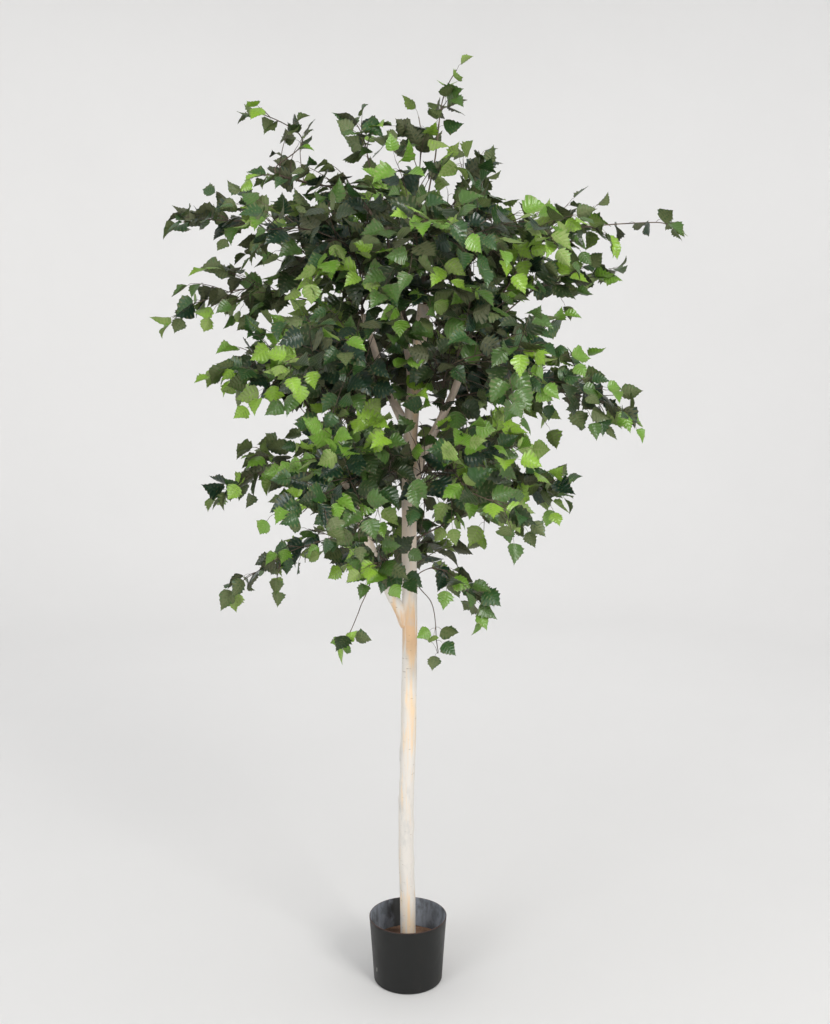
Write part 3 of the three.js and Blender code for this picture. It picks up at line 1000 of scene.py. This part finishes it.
def pot_piece():
    """A thin wall with a rounded foot and rim, turned from a profile that runs up the outside, over the
    rim and down the inside."""
    low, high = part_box("pot")
    rim, height = high.x, high.z
    points = np.array([v.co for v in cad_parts["pot"].data.vertices])
    wall, edge, floor, bevel = 0.0024, 0.006, 0.003, 0.003
    foot = np.hypot(points[:, 0], points[:, 1])[points[:, 2] < low.z + 0.0005].max() + bevel
    profile = [(foot * 0.9, 0.0015), (foot * 0.93, 0.0002)]
    for k in range(7):
        turn = math.pi / 2 * k / 6
        profile.append((foot - edge + edge * math.sin(turn), edge - edge * math.cos(turn)))
    for k in range(1, 28):
        share = k / 28
        radius = foot + (rim - foot) * share - 0.0004 * math.sin(math.pi * share)
        profile.append((radius, edge + (height - edge - 0.0016) * share))
    profile += [(rim, height - 0.0012), (rim - 0.0003, height - 0.0003), (rim - 0.0012, height),
                (rim - wall + 0.0003, height - 0.0003), (rim - wall, height - 0.0012)]
    outside = len(profile) - 1
    for k in range(1, 20):
        share = 1 - k / 20
        profile.append((foot - wall + (rim - foot) * share, floor + (height - floor) * share))
    slots = [0] * (outside - 1) + [1] * (len(profile) - outside)
    return lathe("pot_shell", profile, 160, [POT_PLASTIC, POT_INSIDE], slots)


def crumbs(x, y):
    """How far the filler's uneven top stands up at a place."""
    broad = noise.noise(Vector((x * 22, y * 22, 0.4)))
    fine = noise.noise(Vector((x * 120, y * 120, 1.7)))
    return 0.0035 * broad + 0.0014 * fine


def filler_piece():
    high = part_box("pot_fill")[1]
    outer, inner, rings = high.x + 0.0005, 0.012, 46
    profile = [(outer - (outer - inner) * k / rings, high.z - 0.001) for k in range(rings)]
    profile = [(outer, high.z - 0.01)] + profile
    return lathe("filler_top", profile, 150, [POT_FILLER], [0] * (len(profile) - 1), crumbs)


# ---- Room ----

def paper():
    """Matt pale paper with a barely visible unevenness."""
    material, tree, shader = new_material("paper")
    cloud = cells(tree, (1.2, 1.2, 1.2), 3.0)
    colour = blend_colour(tree, cloud, (0.79, 0.785, 0.78, 1), (0.82, 0.815, 0.81, 1))
    paint(tree, shader, colour)
    shader.inputs["Roughness"].default_value = 0.9
    shader.inputs["Specular IOR Level"].default_value = 0.1
    return material


def backdrop():
    """A round pale floor that curves up into a wall on every side."""
    floor_radius, bend, top, sides = 4.2, 2.0, 5.7, 96
    profile = [(0.6 * k, 0.0) for k in range(1, 7)] + [(floor_radius, 0.0)]
    for k in range(1, 17):
        turn = math.pi / 2 * k / 16
        profile.append((floor_radius + bend * math.sin(turn), bend - bend * math.cos(turn)))
    profile.append((floor_radius + bend, top))
    turns = np.linspace(0, 2 * math.pi, sides, endpoint=False)
    vertices = [(r * math.cos(t), r * math.sin(t), z) for r, z in profile for t in turns]
    faces = [f[::-1] for f in grid_faces(len(profile), sides)] + [tuple(range(sides))]
    return mesh_piece("backdrop", vertices, faces, [PAPER])


def softbox(name, place, aim, size, power, tint=(1, 1, 1), spread=180):
    data = bpy.data.lights.new(name, "AREA")
    data.shape = "RECTANGLE"
    data.size, data.size_y = size
    data.energy = power
    data.color = tint
    data.spread = math.radians(spread)
    lamp = linked(name, data)
    lamp.location = place
    lamp.rotation_euler = (Vector(aim) - Vector(place)).to_track_quat("-Z", "Y").to_euler()
    lamp.visible_camera = False


WASHES = 8  # softboxes overhead, in a ring, that light the wall
WASH_POWER = 22
CAMERA_PLACE = (0.019, -3.04, 1.73)
CAMERA_DIP = 8.47  # degrees below level
CAMERA_LENS = 42.19


def studio():
    scene = bpy.context.scene
    scene.view_settings.view_transform = "Standard"
    world = bpy.data.worlds.new("room")
    world.use_nodes = True
    world.node_tree.nodes["Background"].inputs[0].default_value = (0.955, 0.96, 0.965, 1)
    world.node_tree.nodes["Background"].inputs[1].default_value = 0.66
    scene.world = world
    softbox("key", (2.3, -3.3, 3.2), (0.0, 0.2, 1.5), (1.6, 1.9), 38, (1.0, 0.985, 0.96), 100)
    softbox("fill", (-2.6, -3.3, 2.5), (0.0, 0.2, 1.5), (1.9, 1.9), 21, (0.98, 0.99, 1.0), 100)
    for k in range(WASHES):
        turn = 2 * math.pi * (k + 0.5) / WASHES
        out = Vector((math.cos(turn), math.sin(turn), 0))
        place = out * 2.6 + Vector((0, 0, 3.8))
        softbox(f"wash_{k + 1}", place, out * 6.2 + Vector((0, 0, 1.2)), (2.4, 1.0), WASH_POWER)
    data = bpy.data.cameras.new("view")
    data.lens = CAMERA_LENS
    data.sensor_width = 36
    camera = linked("view", data)
    camera.location = CAMERA_PLACE
    camera.rotation_euler = (math.radians(90 - CAMERA_DIP), 0, 0)
    scene.camera = camera


# ---- Putting it together ----

PAINTED_WOOD = painted_wood()
SAWN_END = sawn_end()
WIRE_BARK = wire_bark()
POT_PLASTIC = pot_plastic()
POT_INSIDE = pot_inside()
POT_FILLER = pot_filler()
PAPER = paper()

# Blade and vein colours of each tint: dark leaves at a sprig's base, lime ones at its end. Every sprig
# takes one of two moods, a cooler and a warmer one.
TINTS = {
    (0, 0): ((0.010, 0.032, 0.015), (0.022, 0.055, 0.030), "dark_cool"),
    (0, 1): ((0.022, 0.042, 0.012), (0.040, 0.070, 0.024), "dark_warm"),
    (1, 0): ((0.030, 0.082, 0.020), (0.055, 0.125, 0.039), "middle_cool"),
    (1, 1): ((0.058, 0.125, 0.022), (0.095, 0.180, 0.045), "middle_warm"),
    (2, 0): ((0.130, 0.270, 0.026), (0.200, 0.360, 0.060), "lime_cool"),
    (2, 1): ((0.220, 0.390, 0.034), (0.310, 0.480, 0.080), "lime_warm"),
}
UNDER_TINTS = [((0.075, 0.085, 0.036), (0.11, 0.12, 0.06)), ((0.10, 0.13, 0.042), (0.15, 0.18, 0.075)),
               ((0.20, 0.28, 0.07), (0.28, 0.36, 0.12))]


def leaf_pieces(growth):
    pieces = []
    for tone in sorted(growth.leaves):
        blade, vein, label = TINTS[tone]
        under, under_vein = UNDER_TINTS[tone[0]]
        top = leaf_face(f"leaf_{label}", blade, vein, 0.3, 0.3, 1)
        bottom = leaf_face(f"leaf_under_{label}", under, under_vein, 0.6, 0.6, -1)
        pieces.append(leaf_piece(f"{label}_leaves", growth.leaves[tone], top, bottom))
    return pieces


def keep(piece, slot, *nodes):
    """Fixes a piece to the tree, in place of the CAD nodes named. Slot is not used."""
    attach(piece, "root")
    if nodes:
        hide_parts(*nodes)


def main():
    keep(pot_piece(), "pot_plastic", "pot")
    keep(filler_piece(), "pot_filler", "pot_fill")
    keep(wooden_limb("trunk", sides=64, step=0.004, knot_count=22), "painted_wood", "trunk")
    for name in POLES[1:]:
        keep(wooden_limb(name, sides=44, step=0.0035, knot_count=5), "painted_wood", name)
    growth = grow()
    for name in LEADERS:
        line, radii = LINES[name]
        growth.wires.tube(smooth_path(line, 30), (radii[0], radii[-1] * 0.6), 8)
    wires = growth.wires.build("leaf_wires", [WIRE_BARK])
    keep(wires, "wire_bark", *LEADERS, *BOUGHS)
    keep(growth.sprigs.build("sprigs", [WIRE_BARK]), "wire_bark")
    keep(growth.stalks.build("leaf_stalks", [WIRE_BARK]), "wire_bark")
    for k, piece in enumerate(leaf_pieces(growth)):
        keep(piece, "leaves", *(MASSES if k == 0 else ()))
    backdrop()
    studio()


main()
